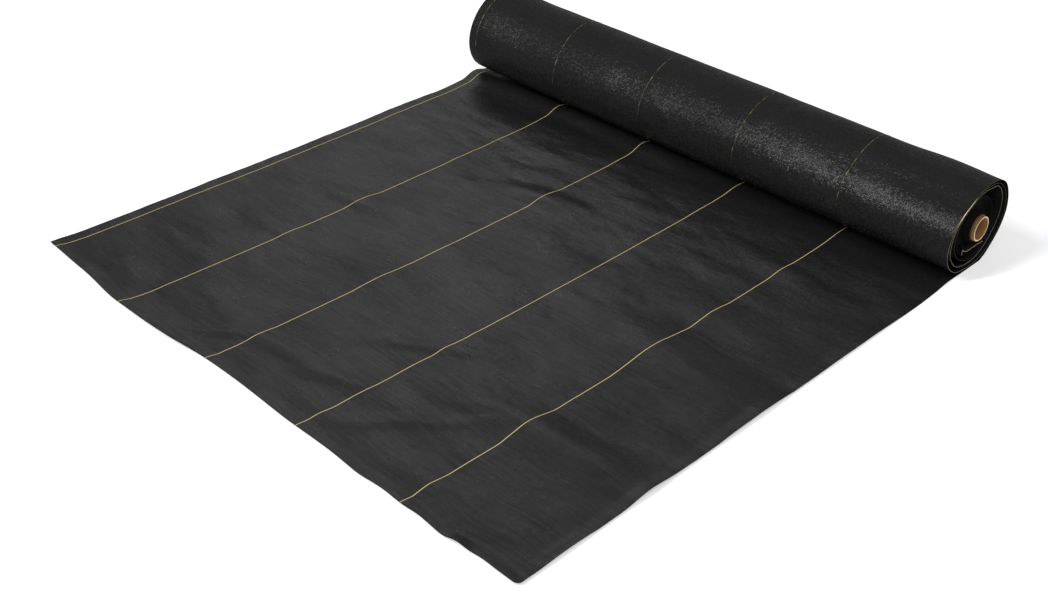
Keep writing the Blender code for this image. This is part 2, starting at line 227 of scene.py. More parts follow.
def laid_height(across, ahead):
    """Height of the sheet's middle over the floor."""
    from_front = front_edge(across) - ahead
    along = 1 - ahead / front_edge(across)
    sideways = (across - 0.5) * FABRIC_WIDTH
    height = np.zeros(np.shape(across))
    for middle, place, half_length, half_breadth, heading, high in RIPPLES:
        turned = math.radians(heading)
        right = (across - middle) * FABRIC_WIDTH
        back = (along - place) * LAID_LENGTH
        length = right * math.cos(turned) + back * math.sin(turned)
        breadth = back * math.cos(turned) - right * math.sin(turned)
        height += high * bump(length / half_length) * bump(breadth / (half_breadth * LAID_LENGTH))
    bowed = ahead + 0.05 * np.cos(2.4 * sideways)
    cockles = uneven(sideways, ahead, BROAD_COCKLES) + uneven(sideways, ahead, SMALL_COCKLES)
    cockles += uneven(sideways, bowed, BOWED_COCKLES)
    height += np.maximum(cockles, -height)
    # The sheet flattens towards the roll, then rises in the hump, which is highest at the left
    height *= smooth_step((ahead - FOOT_AHEAD) / (FOOT_AHEAD + 2 * HUMP_HALF_WIDTH))
    low = smooth_step((across - 0.44) / 0.22)
    hump = bump((ahead - FOOT_AHEAD - HUMP_HALF_WIDTH) / HUMP_HALF_WIDTH)
    height += HUMP_HEIGHT * (1 - 0.8 * low) * hump
    # All three free edges lift a little
    edge_lift = EDGE_LIFT + EDGE_LIFT_VARIES * soft_noise(sideways / 0.13, ahead / 0.17, 5.7)
    from_edge = np.minimum(np.minimum(across, 1 - across) * FABRIC_WIDTH, from_front)
    height += edge_lift * (1 - smooth_step(from_edge / 0.022)) * smooth_step((ahead - 0.15) / 0.1)
    pinch = bump((across - PINCH_AT) / 0.024) * (1 - smooth_step(from_front / 0.018))
    side_lift = bump((from_front - 0.075) / 0.055) * (1 - smooth_step((1 - across) / 0.014))
    crease_line = bump((across - CREASE_AT - 0.12 * from_front) / 0.006)
    crease = crease_line * bump((from_front - 0.035) / 0.06)
    height += PINCH_HEIGHT * pinch + SIDE_LIFT * side_lift + CREASE_HEIGHT * crease
    return height + FABRIC_THICKNESS / 2


# The left side is drawn in along its middle. In front of the roll the whole sheet has slid a
# little to the right and ahead, its left side a little more. The right corner is rounded.
DRAWN_IN = 0.0070
SLID_RIGHT = 0.0036
LEFT_SLID_MORE = 0.0040
SLID_AHEAD = 0.0022
CORNER_ROUNDING = 0.008


def laid_place(across, ahead):
    """Places of the sheet's middle, by share across and length ahead of the roll's centre."""
    along = 1 - ahead / front_edge(across)
    drawn = DRAWN_IN * (1 - smooth_step((across - 0.66) / 0.26)) * np.sin(math.pi * along)
    loose = smooth_step((ahead - 0.03) / 0.12)
    at_left = smooth_step(along / 0.06) * (1 - smooth_step((across - 0.22) / 0.3))
    slid_right = loose * (SLID_RIGHT + LEFT_SLID_MORE * at_left)
    slid_ahead = SLID_AHEAD * loose
    right = np.clip(1 - (1 - across) * FABRIC_WIDTH / CORNER_ROUNDING, 0, 1)
    front = np.clip(1 - (front_edge(across) - ahead) / CORNER_ROUNDING, 0, 1)
    round_in = CORNER_ROUNDING * right * (1 - np.sqrt(1 - front * front / 2))
    round_back = CORNER_ROUNDING * front * (1 - np.sqrt(1 - right * right / 2))
    return np.stack([
        (across - 0.5) * FABRIC_WIDTH + drawn + slid_right - round_in,
        ROLL_Y - ahead - slid_ahead + round_back,
        laid_height(across, ahead),
    ], axis=-1)


def add_woven_grid(name, places, measures):
    """A grid primitive with each crossing moved to its place and the UV map laid in metres."""
    columns, rows = places.shape[:2]
    bpy.ops.object.select_all(action="DESELECT")
    bpy.ops.mesh.primitive_grid_add(x_subdivisions=columns - 1, y_subdivisions=rows - 1, size=2.0)
    piece = bpy.context.active_object
    piece.name = name
    mesh = piece.data
    in_order = np.swapaxes(places, 0, 1).reshape(-1, 3)
    mesh.vertices.foreach_set("co", in_order.astype(np.float32).ravel())
    corners = np.zeros(len(mesh.loops), np.int32)
    mesh.loops.foreach_get("vertex_index", corners)
    laid_out = np.swapaxes(measures, 0, 1).reshape(-1, 2)[corners]
    mesh.uv_layers[0].data.foreach_set("uv", laid_out.astype(np.float32).ravel())
    mesh.shade_smooth()
    mesh.update()
    return piece


def give_thickness(piece, thickness):
    """Turn a surface into a closed sheet about it; its rim stays sharp."""
    solidify = piece.modifiers.new("thickness", "SOLIDIFY")
    solidify.thickness = thickness
    solidify.offset = 0.0
    bpy.ops.object.select_all(action="DESELECT")
    bpy.context.view_layer.objects.active = piece
    piece.select_set(True)
    bpy.ops.object.modifier_apply(modifier=solidify.name)
    bpy.ops.object.shade_smooth_by_angle(angle=math.radians(50))


# Lines of the sheet's grid, closer at the right edge, the crease, the pinch and the cut edge
across_laid = np.sort(np.concatenate([
    np.linspace(0, 0.975, 190), np.linspace(0.9785, 1.0, 8),
    np.arange(0.0985, 0.1230, 0.0025), np.arange(0.8885, 0.9220, 0.0050)]))
back_laid = np.concatenate([np.linspace(0, 0.02, 7)[:-1], np.linspace(0.02, 1.0, 188)])
across_grid, back_grid = np.meshgrid(across_laid, back_laid, indexing="ij")
ahead_grid = front_edge(across_grid) + (FOOT_AHEAD - front_edge(across_grid)) * back_grid
laid_fabric = add_woven_grid(
    "laid_fabric_sheet",
    laid_place(across_grid, ahead_grid),
    np.stack([across_grid * FABRIC_WIDTH, front_edge(across_grid) - ahead_grid], axis=-1),
)
give_thickness(laid_fabric, FABRIC_THICKNESS)


def node_math(tree, operation, first, second=0.0):
    """One sum in a material; each side is a number or another node's output."""
    node = tree.nodes.new("ShaderNodeMath")
    node.operation = operation
    for socket, value in zip(node.inputs, (first, second)):
        if isinstance(value, (int, float)):
            socket.default_value = value
        else:
            tree.links.new(value, socket)
    return node.outputs[0]


def tape_weave(tree):
    """The UV map, the plain weave's height, and a random number and colour for each float."""
    uv = tree.nodes.new("ShaderNodeUVMap")
    uv.uv_map = "UVMap"
    in_tapes = tree.nodes.new("ShaderNodeMapping")
    in_tapes.inputs["Scale"].default_value = (1 / TAPE_WIDTH, 1 / TAPE_WIDTH, 1.0)
    tree.links.new(uv.outputs["UV"], in_tapes.inputs["Vector"])
    apart = tree.nodes.new("ShaderNodeSeparateXYZ")
    tree.links.new(in_tapes.outputs["Vector"], apart.inputs["Vector"])
    across_tape, along_tape = apart.outputs["X"], apart.outputs["Y"]
    whole = tree.nodes.new("ShaderNodeCombineXYZ")
    crowns, slants = [], []
    for place, axis in ((across_tape, "X"), (along_tape, "Y")):
        tree.links.new(node_math(tree, "FLOOR", place), whole.inputs[axis])
        offset = node_math(tree, "SUBTRACT", node_math(tree, "FRACT", place), 0.5)
        edge = node_math(tree, "POWER", node_math(tree, "ABSOLUTE", offset), 4.0)
        crowns.append(node_math(tree, "SUBTRACT", 1.0, node_math(tree, "MULTIPLY", edge, 16.0)))
        slants.append(offset)
    waves = [
        node_math(tree, "SINE", node_math(tree, "MULTIPLY", place, math.pi))
        for place in (across_tape, along_tape)
    ]
    over = node_math(tree, "MULTIPLY", node_math(tree, "MULTIPLY", *waves), 0.5)
    warp = node_math(tree, "MULTIPLY", crowns[0], node_math(tree, "ADD", 0.5, over))
    weft = node_math(tree, "MULTIPLY", crowns[1], node_math(tree, "SUBTRACT", 0.5, over))
    chance = tree.nodes.new("ShaderNodeTexWhiteNoise")
    chance.noise_dimensions = "3D"
    tree.links.new(whole.outputs["Vector"], chance.inputs["Vector"])
    tint = tree.nodes.new("ShaderNodeSeparateColor")
    tree.links.new(chance.outputs["Color"], tint.inputs["Color"])
    tilts = [
        node_math(tree, "MULTIPLY", slant, node_math(tree, "SUBTRACT", tint.outputs[part], 0.5))
        for slant, part in zip(slants, ("Red", "Green"))
    ]
    tilt = node_math(tree, "ADD", *tilts)
    height = node_math(tree, "ADD", node_math(tree, "MAXIMUM", warp, weft), tilt)
    return uv.outputs["UV"], height, tint.outputs["Blue"], chance.outputs["Color"]


def noise_of(tree, vector, scale, detail=2.0, stretch=(1.0, 1.0, 1.0)):
    """Noise on this vector, in features per metre; stretch scales each direction first."""
    mapping = tree.nodes.new("ShaderNodeMapping")
    mapping.inputs["Scale"].default_value = stretch
    tree.links.new(vector, mapping.inputs["Vector"])
    texture = tree.nodes.new("ShaderNodeTexNoise")
    texture.inputs["Scale"].default_value = scale
    texture.inputs["Detail"].default_value = detail
    tree.links.new(mapping.outputs["Vector"], texture.inputs["Vector"])
    return texture.outputs["Fac"]


def between(tree, share, low, high):
    """A number from low to high as share goes from nought to one."""
    spread = node_math(tree, "MULTIPLY", share, high - low)
    return node_math(tree, "ADD", spread, low)


def two_tone(tree, share, first, second):
    """A colour from first to second as share goes from nought to one."""
    mix = tree.nodes.new("ShaderNodeMix")
    mix.data_type = "RGBA"
    tree.links.new(share, mix.inputs["Factor"])
    mix.inputs["A"].default_value = (*first, 1.0)
    mix.inputs["B"].default_value = (*second, 1.0)
    return mix.outputs["Result"]


def raised(tree, shader, height, distance, under=None):
    """Bump the shader's surface by this height, over another bump if one is given."""
    bump_node = tree.nodes.new("ShaderNodeBump")
    bump_node.inputs["Distance"].default_value = distance
    tree.links.new(height, bump_node.inputs["Height"])
    if under is not None:
        tree.links.new(under, bump_node.inputs["Normal"])
    tree.links.new(bump_node.outputs["Normal"], shader.inputs["Normal"])
    return bump_node.outputs["Normal"]


def vector_math(tree, operation, first, second=None, scale=None):
    """One sum on vectors in a material; the second is a tuple or another node's output."""
    node = tree.nodes.new("ShaderNodeVectorMath")
    node.operation = operation
    tree.links.new(first, node.inputs[0])
    if isinstance(second, tuple):
        node.inputs[1].default_value = second
    elif second is not None:
        tree.links.new(second, node.inputs[1])
    if scale is not None:
        tree.links.new(scale, node.inputs["Scale"])
    return node.outputs["Vector"]


def tape_material(
        name, dark, light, shine, roughness, weave_depth, wrinkle_depth, ripple_depth, float_lean):
    """Black plastic tapes: each float has its own tint, tilt and gloss, over fine wrinkles."""
    material = bpy.data.materials.new(name)
    material.use_nodes = True
    tree = material.node_tree
    shader = tree.nodes["Principled BSDF"]
    uv, height, chance, leans = tape_weave(tree)
    worn = noise_of(tree, uv, 14.0, 4.0)
    shade = node_math(tree, "MULTIPLY", node_math(tree, "ADD", worn, chance), 0.5)
    tree.links.new(two_tone(tree, shade, dark, light), shader.inputs["Base Color"])
    gloss = node_math(tree, "MULTIPLY", chance, noise_of(tree, uv, 30.0, 3.0))
    tree.links.new(between(tree, gloss, *roughness), shader.inputs["Roughness"])
    streaks = noise_of(tree, uv, 260.0, 2.0, (0.06, 1.0, 1.0))
    blotches = noise_of(tree, uv, 8.0, 3.0, (0.8, 1.5, 1.0))
    polish = node_math(tree, "MULTIPLY", node_math(tree, "ADD", streaks, blotches), 0.5)
    shader.inputs["Specular IOR Level"].default_value = shine
    tree.links.new(
        between(tree, polish, -0.3 * shine, 2.3 * shine), shader.inputs["Specular IOR Level"])
    patches = noise_of(tree, uv, 22.0, 2.0, (1.0, 0.7, 1.0))
    lean = vector_math(
        tree, "SCALE", vector_math(tree, "SUBTRACT", leans, (0.5, 0.5, 0.5)),
        scale=between(tree, patches, 0.2 * float_lean, 1.8 * float_lean))
    facing = tree.nodes.new("ShaderNodeNewGeometry").outputs["Normal"]
    leaning = vector_math(tree, "NORMALIZE", vector_math(tree, "ADD", facing, lean))
    ripples = noise_of(tree, uv, 10.0, 1.0, (0.7, 1.5, 1.0))
    under = raised(tree, shader, ripples, ripple_depth, leaning)
    wrinkles = noise_of(tree, uv, 50.0, 2.0, (0.7, 1.0, 1.0))
    under = raised(tree, shader, wrinkles, wrinkle_depth, under)
    raised(tree, shader, height, weave_depth, under)
    return material


laid_tapes = tape_material(
    "woven_tapes_upper_face", dark=(0.007, 0.007, 0.007), light=(0.014, 0.014, 0.014),
    shine=0.44, roughness=(0.36, 0.20), weave_depth=0.00012, wrinkle_depth=0.0012,
    ripple_depth=0.0070, float_lean=0.10)
laid_fabric.data.materials.append(laid_tapes)
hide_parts("laid_sheet")

# The two lights behind shine on this sheet alone
mirroring = bpy.data.collections.new("pieces_that_mirror_the_backdrop")
mirroring.objects.link(laid_fabric)
backdrop_panel.light_linking.receiver_collection = mirroring
backdrop_strip.light_linking.receiver_collection = mirroring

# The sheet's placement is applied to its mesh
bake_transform(laid_fabric)

# Guide yarns of the laid sheet. Each is a flat bundle of pale gold strands, woven in along the
# sheet, so it follows every ripple. Its colour is pale gold in the middle and darkens to brown and
# then nearly black at its edges: painted shade where the bundle's sides fall away from the light.
FIRST_GUIDE = 0.018
GUIDE_PITCH = 0.198
GUIDE_COUNT = 5
GUIDE_WIDTH = 0.0013
GUIDE_CROWN = 0.00016
GUIDE_OVER_TAPES = 0.00005
GUIDE_THICKNESS = 0.0002
guide_shares = [FIRST_GUIDE + GUIDE_PITCH * count for count in range(GUIDE_COUNT)]
guide_offsets = np.linspace(-0.5, 0.5, 7) * GUIDE_WIDTH
guide_rows = np.linspace(0, 1, 440)
guide_gold = bpy.data.materials.new("guide_yarn_gold")
guide_gold.use_nodes = True
gold_tree = guide_gold.node_tree
gold_shader = gold_tree.nodes["Principled BSDF"]
gold_uv = gold_tree.nodes.new("ShaderNodeUVMap")
gold_uv.uv_map = "UVMap"
gold_parts = gold_tree.nodes.new("ShaderNodeSeparateXYZ")
gold_tree.links.new(gold_uv.outputs["UV"], gold_parts.inputs["Vector"])
off_middle = node_math(gold_tree, "ABSOLUTE", gold_parts.outputs["X"])
from_middle = node_math(gold_tree, "MULTIPLY", off_middle, 2 / GUIDE_WIDTH)
# Painted shade: from the middle of the yarn out to its edges the colour darkens to nearly black
gold_ramp = gold_tree.nodes.new("ShaderNodeValToRGB")
gold_tree.links.new(from_middle, gold_ramp.inputs["Fac"])
gold_stops = gold_ramp.color_ramp.elements
gold_stops[0].position, gold_stops[0].color = 0.30, (0.86, 0.74, 0.40, 1.0)
gold_stops[1].position, gold_stops[1].color = 0.95, (0.075, 0.043, 0.008, 1.0)
gold_stops.new(0.62).color = (0.38, 0.27, 0.08, 1.0)
gold_tree.links.new(gold_ramp.outputs["Color"], gold_shader.inputs["Base Color"])
gold_shader.inputs["Roughness"].default_value = 0.5
strand_twist = noise_of(gold_tree, gold_uv.outputs["UV"], 500.0, 2.0, (1.0, 0.3, 1.0))
raised(gold_tree, gold_shader, strand_twist, 0.0003)

guide_lift = FABRIC_THICKNESS / 2 + 0.00012
for count, share in enumerate(guide_shares):
    share_grid, row_grid = np.meshgrid(
        np.full(len(guide_offsets), share), guide_rows, indexing="ij")
    guide_ahead = front_edge(share_grid) * (1 - row_grid) + FOOT_AHEAD * row_grid
    guide_places = laid_place(share_grid, guide_ahead)
    guide_places[..., 0] += guide_offsets[:, None]
    along_yarn = front_edge(share_grid) - guide_ahead
    crown = GUIDE_CROWN * (1 - (2 * guide_offsets / GUIDE_WIDTH) ** 2)[:, None]
    crossing = GUIDE_OVER_TAPES * np.sin(along_yarn * math.pi / TAPE_WIDTH)
    guide_places[..., 2] += guide_lift + crown + crossing
    guide = add_woven_grid(
        f"guide_yarn_{count + 1}", guide_places,
        np.stack([np.broadcast_to(guide_offsets[:, None], along_yarn.shape), along_yarn], axis=-1))
    give_thickness(guide, GUIDE_THICKNESS)
    guide.data.materials.append(guide_gold)
    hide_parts(f"laid_guide_yarn_{count + 1}")
    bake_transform(guide)

# Loose outer turns. Past the roll's foot the same sheet climbs the back of the roll and winds on
# for three slack turns, sagged into leaning ovals. Its right edge hangs in wider, uneven loops,
# and its left edge sits a little inside the laid one.
LOOSE_TURNS = 3
TURN_LENGTH = 0.42

# The fabric leaves the floor this far behind the roll's centre. Its place there, in turns from
# straight down and in reach from the centre, is where the winding starts.
FOOT_BEHIND = 0.024
foot_drop = ROLL_HEIGHT - FABRIC_THICKNESS / 2
first_turn = (math.atan2(-foot_drop, FOOT_BEHIND) + math.pi / 2) / (2 * math.pi)
first_reach = math.hypot(FOOT_BEHIND, foot_drop)

# The right edge's loops, seen along the axis from that end: degrees wound from under the centre,
# and reach from the centre.
RIGHT_LOOPS = (
    (20, 0.0694), (46, 0.0683), (61, 0.0707), (74, 0.0736), (90, 0.0772), (111, 0.0783),
    (130, 0.0780), (147, 0.0736), (164, 0.0678), (180, 0.0644), (200, 0.0600), (212, 0.0590),
    (223, 0.0610), (234, 0.0650), (253, 0.0712), (270, 0.0754), (285, 0.0779), (297, 0.0773),
    (309, 0.0750), (321, 0.0716), (339, 0.0640), (360, 0.0605), (383, 0.0606), (403, 0.0616),
    (418, 0.0640), (435, 0.0675), (450, 0.0705), (471, 0.0723), (490, 0.0716), (507, 0.0688),
    (524, 0.0630), (540, 0.0602), (560, 0.0586), (572, 0.0577), (583, 0.0592), (594, 0.0620),
    (613, 0.0672), (630, 0.0706), (645, 0.0716), (657, 0.0692), (674, 0.0651), (690, 0.0585),
    (704, 0.0545), (722, 0.0516), (743, 0.0489), (763, 0.0484), (778, 0.0494), (793, 0.0520),
    (808, 0.0560), (822, 0.0595), (834, 0.0625), (847, 0.0646), (858, 0.0652), (868, 0.0643),
    (880, 0.0604), (899, 0.0574), (920, 0.0566), (943, 0.0574), (962, 0.0603), (990, 0.0620),
    (1017, 0.0575), (1048, 0.0512), (1080, 0.0480),
)


# The ovals' reach from the centre: of the outermost turn, more at the left end, less each turn.
OUTER_REACH = 0.0725
LEFT_SWELL = 0.0022
TURN_PITCH = 0.0055


def oval_reach(turn, across):
    """Reach of the sagged turns along most of the roll, as in the CAD."""
    angle = -math.pi / 2 + 2 * math.pi * turn
    inward = turn / LOOSE_TURNS
    lean = np.radians(40.0 - 13.0 * across)
    sag = (0.0050 + 0.0030 * across) * np.cos(2 * (angle - lean))
    shift = (0.0077 - 0.0067 * across) * (1 - inward) * np.cos(angle - math.radians(47))
    lift = 0.0080 * inward * np.cos(angle - math.radians(150))
    return OUTER_REACH + LEFT_SWELL * (1 - across) - TURN_PITCH * turn + sag + shift + lift


def loop_reach(turn):
    """Reach of the right edge's loops: a smooth line through the points above."""
    wound, reach = np.array(RIGHT_LOOPS).T
    slope = np.gradient(reach, wound)
    place = np.clip(np.asarray(turn) * 360, wound[0], wound[-1])
    step = np.clip(np.searchsorted(wound, place, side="right") - 1, 0, len(wound) - 2)
    span = wound[step + 1] - wound[step]
    part = (place - wound[step]) / span
    return (
        reach[step] * (1 + 2 * part) * (1 - part) ** 2
        + slope[step] * span * part * (1 - part) ** 2
        + reach[step + 1] * part ** 2 * (3 - 2 * part)
        + slope[step + 1] * span * part ** 2 * (part - 1)
    )


# The left end stands up and forward. Just before the loops the right end flares at its upper
# back. The fabric has shallow dents all round: depth, length across, length round and seed. The
# left edge is drawn in, and the edges don't lie quite over each other.
LEFT_STAND = 0.0058
RIGHT_FLARE = 0.0032
BROAD_DENTS = (0.00070, 0.085, 0.06, 1.7)
SMALL_DENTS = (0.00028, 0.022, 0.05, 6.3)
LEFT_DRAWN_IN = 0.0068
EDGE_SHIFT = 0.0012


def winding_place(turn, across, lift=0.0):
    """Places on the winding, lifted outward from the middle of the fabric."""
    angle = -math.pi / 2 + 2 * math.pi * turn
    sideways = (across - 0.5) * FABRIC_WIDTH
    settled = smooth_step((turn - first_turn) / 0.25)
    fade = np.clip(1 - (turn - first_turn) / 0.30, 0, 1) ** 2
    reach = oval_reach(turn, across) + (first_reach - oval_reach(first_turn, across)) * fade
    at_left = (1 - smooth_step(across / 0.12)) * settled
    reach = reach + LEFT_STAND * at_left * np.cos(angle - math.radians(122))
    at_right = smooth_step((across - 0.72) / 0.26)
    flare = bump((across - 0.92) / 0.09) * np.maximum(np.cos(angle - math.radians(46)), 0) ** 2
    reach = reach + (loop_reach(turn) - reach) * at_right + RIGHT_FLARE * flare * settled
    arc = turn * TURN_LENGTH
    dents = uneven(sideways, arc, BROAD_DENTS) + uneven(sideways, arc, SMALL_DENTS)
    reach = reach + dents * settled * (1 - at_right * 0.6) + lift
    drawn = LEFT_DRAWN_IN * (1 - smooth_step(across / 0.30)) * settled
    shifted = EDGE_SHIFT * soft_noise(turn * 2.3, across * 3.0, 9.9) * settled
    return np.stack([
        sideways + drawn + shifted,
        ROLL_Y + reach * np.cos(angle),
        ROLL_HEIGHT + reach * np.sin(angle),
    ], axis=-1)


# Lines of the winding's grid, closer at both ends of the roll, with the flat foot before it
across_wound = np.concatenate([
    np.linspace(0, 0.03, 5)[:-1], np.linspace(0.03, 0.93, 150)[:-1], np.linspace(0.93, 1.0, 24)])
turns_wound = np.concatenate([
    np.linspace(first_turn, 1.25, 92)[:-1], np.linspace(1.25, LOOSE_TURNS, 104)])
across_grid, turn_grid = np.meshgrid(across_wound, turns_wound, indexing="ij")
turn_places = winding_place(turn_grid, across_grid)
foot_back = np.linspace(-FOOT_AHEAD, FOOT_BEHIND, 8)[:-1]
foot_across, foot_grid = np.meshgrid(across_wound, foot_back, indexing="ij")
foot_places = np.stack([
    (foot_across - 0.5) * FABRIC_WIDTH, ROLL_Y + foot_grid,
    np.full(foot_grid.shape, FABRIC_THICKNESS / 2)], axis=-1)
foot_end = LAID_LENGTH + FOOT_BEHIND
wound_lengths = np.concatenate([
    LAID_LENGTH + foot_grid, foot_end + (turn_grid - first_turn) * TURN_LENGTH], axis=1)
loose_turns = add_woven_grid(
    "loose_outer_turns",
    np.concatenate([foot_places, turn_places], axis=1),
    np.stack([
        np.concatenate([foot_across, across_grid], axis=1) * FABRIC_WIDTH, wound_lengths], axis=-1),
)
give_thickness(loose_turns, FABRIC_THICKNESS)
wound_tapes = tape_material(
    "woven_tapes_reverse_face", dark=(0.010, 0.010, 0.010), light=(0.019, 0.019, 0.019),
    shine=0.15, roughness=(0.32, 0.14), weave_depth=0.00014, wrinkle_depth=0.0014,
    ripple_depth=0.0030, float_lean=0.23)
loose_turns.data.materials.append(wound_tapes)
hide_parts("outer_turns")
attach(loose_turns, "outer_turn")

# Guide yarns round the outside of the roll. There the fabric's reverse face is outward, so each
# yarn hardly shows: a thin dull line in the weave, with a brighter stitch here and there. Low on
# the front of the roll its colour fades to nearly black: painted shade under the roll.
ROLL_YARN_WIDTH = 0.0011
ROLL_YARN_CROWN = 0.00010
ROLL_YARN_THICKNESS = 0.00012

# The stretch that shows, in turns from under the centre, and where along it the yarn's colour
# fades into painted shade. On the UV map each yarn starts 2 m past the last one, so no two have
# the same stitches.
ROLL_YARN_START = 32 / 360
ROLL_YARN_END = 312 / 360
PAINTED_SHADE_START = 0.255
PAINTED_SHADE_END = 0.300
YARN_SPACING = 2.0
dull_gold = bpy.data.materials.new("guide_yarn_reverse_face")
dull_gold.use_nodes = True
dull_tree = dull_gold.node_tree
dull_shader = dull_tree.nodes["Principled BSDF"]
dull_uv = dull_tree.nodes.new("ShaderNodeUVMap")
dull_uv.uv_map = "UVMap"
stitches = noise_of(dull_tree, dull_uv.outputs["UV"], 90.0, 3.0, (0.2, 1.0, 1.0))
stitch_ramp = dull_tree.nodes.new("ShaderNodeValToRGB")
dull_tree.links.new(stitches, stitch_ramp.inputs["Fac"])
stitch_stops = stitch_ramp.color_ramp.elements
stitch_stops[0].position, stitch_stops[0].color = 0.46, (0.035, 0.026, 0.014, 1.0)
stitch_stops[1].position, stitch_stops[1].color = 0.66, (0.30, 0.23, 0.11, 1.0)
dull_parts = dull_tree.nodes.new("ShaderNodeSeparateXYZ")
dull_tree.links.new(dull_uv.outputs["UV"], dull_parts.inputs["Vector"])
low_in_painted_shade = dull_tree.nodes.new("ShaderNodeMapRange")
low_in_painted_shade.inputs["From Min"].default_value = PAINTED_SHADE_START
low_in_painted_shade.inputs["From Max"].default_value = PAINTED_SHADE_END
own_length = node_math(dull_tree, "MODULO", dull_parts.outputs["Y"], YARN_SPACING)
dull_tree.links.new(own_length, low_in_painted_shade.inputs["Value"])
# Painted shade: low on the front of the roll the yarn's colour is mixed into nearly black
painted_shade_mix = dull_tree.nodes.new("ShaderNodeMix")
painted_shade_mix.data_type = "RGBA"
dull_tree.links.new(low_in_painted_shade.outputs["Result"], painted_shade_mix.inputs["Factor"])
dull_tree.links.new(stitch_ramp.outputs["Color"], painted_shade_mix.inputs["A"])
painted_shade_mix.inputs["B"].default_value = (0.010, 0.008, 0.006, 1.0)
dull_tree.links.new(painted_shade_mix.outputs["Result"], dull_shader.inputs["Base Color"])
dull_shader.inputs["Roughness"].default_value = 0.6
dull_shader.inputs["Specular IOR Level"].default_value = 0.3
raised(dull_tree, dull_shader, stitches, 0.0004)

roll_yarn_lift = FABRIC_THICKNESS / 2 + 0.00008
roll_yarn_sides = np.linspace(-0.5, 0.5, 5) * ROLL_YARN_WIDTH
roll_yarn_turns = np.linspace(ROLL_YARN_START, ROLL_YARN_END, 180)
for count, share in enumerate(guide_shares):
    share_grid, turn_grid = np.meshgrid(
        share + roll_yarn_sides / FABRIC_WIDTH, roll_yarn_turns, indexing="ij")
    crown = ROLL_YARN_CROWN * (1 - (2 * roll_yarn_sides / ROLL_YARN_WIDTH) ** 2)[:, None]
    yarn_places = winding_place(turn_grid, share_grid, roll_yarn_lift + crown)
    along_yarn = (turn_grid - ROLL_YARN_START) * TURN_LENGTH + count * YARN_SPACING
    sides_grid = np.broadcast_to(roll_yarn_sides[:, None], along_yarn.shape)
    roll_yarn = add_woven_grid(
        f"roll_guide_yarn_{count + 1}_stitches", yarn_places,
        np.stack([sides_grid, along_yarn], axis=-1))
    give_thickness(roll_yarn, ROLL_YARN_THICKNESS)
    roll_yarn.data.materials.append(dull_gold)
    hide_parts(f"roll_guide_yarn_{count + 1}")
    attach(roll_yarn, "outer_turn")

# Edge yarn. The same pale yarn runs in the fabric's right edge, so each loose turn is outlined at
# that end. Its colour is painted light and shade: painted bright at the upper front of the two
# outermost turns, where it is also full, and painted dull where the edge leans away from the light.
EDGE_YARN_RADIUS = 0.00032
EDGE_YARN_PROUD = 0.0002
FULLER_BY = 0.7
edge_curve = bpy.data.curves.new("edge_yarn_path", "CURVE")
edge_curve.dimensions = "3D"
edge_curve.bevel_depth = EDGE_YARN_RADIUS
edge_curve.bevel_resolution = 1
edge_turns = np.linspace(first_turn + 0.02, LOOSE_TURNS - 0.01, 300)
edge_places = winding_place(edge_turns, np.ones(len(edge_turns)))
edge_places[:, 0] += EDGE_YARN_PROUD
edge_line = edge_curve.splines.new("POLY")
edge_line.points.add(len(edge_places) - 1)
for point, place, turn in zip(edge_line.points, edge_places, edge_turns):
    point.co = (*place, 1.0)
    point.radius = 1.0 + FULLER_BY * bump((turn % 1 - 0.61) / 0.09)
edge_yarn = bpy.data.objects.new("edge_yarn_thread", edge_curve)
bpy.context.collection.objects.link(edge_yarn)
bpy.ops.object.select_all(action="DESELECT")
edge_yarn.select_set(True)
bpy.context.view_layer.objects.active = edge_yarn
bpy.ops.object.convert(target="MESH")
edge_yarn.data.shade_smooth()

# On the UV map each place's height is its share of the way along the winding
edge_points = np.array([vertex.co for vertex in edge_yarn.data.vertices])
nearest = np.array([np.argmin(((edge_places - point) ** 2).sum(axis=1)) for point in edge_points])
edge_uv = edge_yarn.data.uv_layers.get("UVMap") or edge_yarn.data.uv_layers.new(name="UVMap")
for loop in edge_yarn.data.loops:
    edge_uv.data[loop.index].uv = (0.5, edge_turns[nearest[loop.vertex_index]] / LOOSE_TURNS)
edge_gold = bpy.data.materials.new("edge_yarn_gold")
edge_gold.use_nodes = True
edge_tree = edge_gold.node_tree
edge_shader = edge_tree.nodes["Principled BSDF"]
edge_place = edge_tree.nodes.new("ShaderNodeTexCoord")
edge_noise = noise_of(edge_tree, edge_place.outputs["Object"], 60.0, 3.0)
edge_along = edge_tree.nodes.new("ShaderNodeUVMap")
edge_along.uv_map = "UVMap"
edge_parts = edge_tree.nodes.new("ShaderNodeSeparateXYZ")
edge_tree.links.new(edge_along.outputs["UV"], edge_parts.inputs["Vector"])
edge_ramp = edge_tree.nodes.new("ShaderNodeValToRGB")
edge_tree.links.new(edge_parts.outputs["Y"], edge_ramp.inputs["Fac"])

